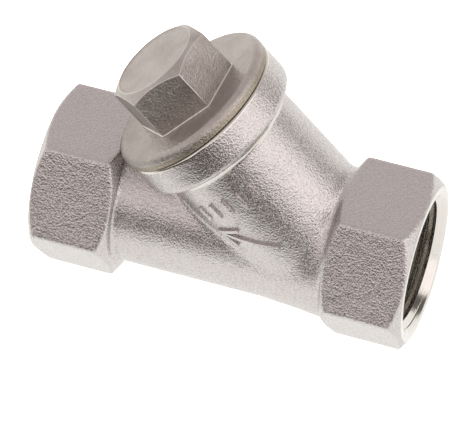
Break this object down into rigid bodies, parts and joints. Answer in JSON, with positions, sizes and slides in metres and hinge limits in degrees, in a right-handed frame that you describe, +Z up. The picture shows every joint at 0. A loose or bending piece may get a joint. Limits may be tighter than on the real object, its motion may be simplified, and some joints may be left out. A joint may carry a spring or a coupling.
{
  "type": "y strainer",
  "caption": "Cast steel Y strainer: straight run with female threaded hexagon ends, inclined branch, hexagon headed screw cap and a removable cylindrical screen.",
  "frame": {"origin": "halfway along the run, in the plane of the two lower hexagon flats", "axes": "+X along the run, out of the inlet port; +Y across the strainer, away from its marked side; +Z up, so that the branch rises from the run towards -X"},
  "size_m": [0.076, 0.037, 0.0598],
  "materials": {
    "cast_steel": "investment cast, shot blasted, machined at the ports",
    "cap_steel": "satin, forged and turned",
    "gasket_plastic": "smooth fluoropolymer",
    "screen_sheet": "punched sheet, rolled and spot welded",
    "screen_wire": "fine woven wire",
    "ring_steel": "pressed and polished"
  },
  "bodies": {
    "housing": {"body": "cast_steel"},
    "screen": {"screen_tube": "screen_sheet", "screen_mesh": "screen_wire", "screen_top_ring": "ring_steel", "screen_bottom_ring": "ring_steel"},
    "gasket": {"cap_gasket": "gasket_plastic"},
    "cap": {"cap": "cap_steel"}
  },
  "joints": [
    {"name": "screen_lift", "type": "slide", "parent": "housing", "child": "screen", "axis": [-0.6691, 0, 0.7431], "range_m": [0, 0.04]},
    {"name": "cap_rise", "type": "slide", "parent": "screen", "child": "gasket", "axis": [-0.6691, 0, 0.7431], "range_m": [0, 0.00475]},
    {"name": "cap_turn", "type": "hinge", "parent": "gasket", "child": "cap", "pos_m": [0.01675, 0, 0.016], "axis": [-0.6691, 0, 0.7431], "range_deg": [0, 1140]}
  ],
  "couplings": [
    {"joint": "cap_rise", "follows": "cap_turn", "m_per_rad": 0.00023873}
  ]
}
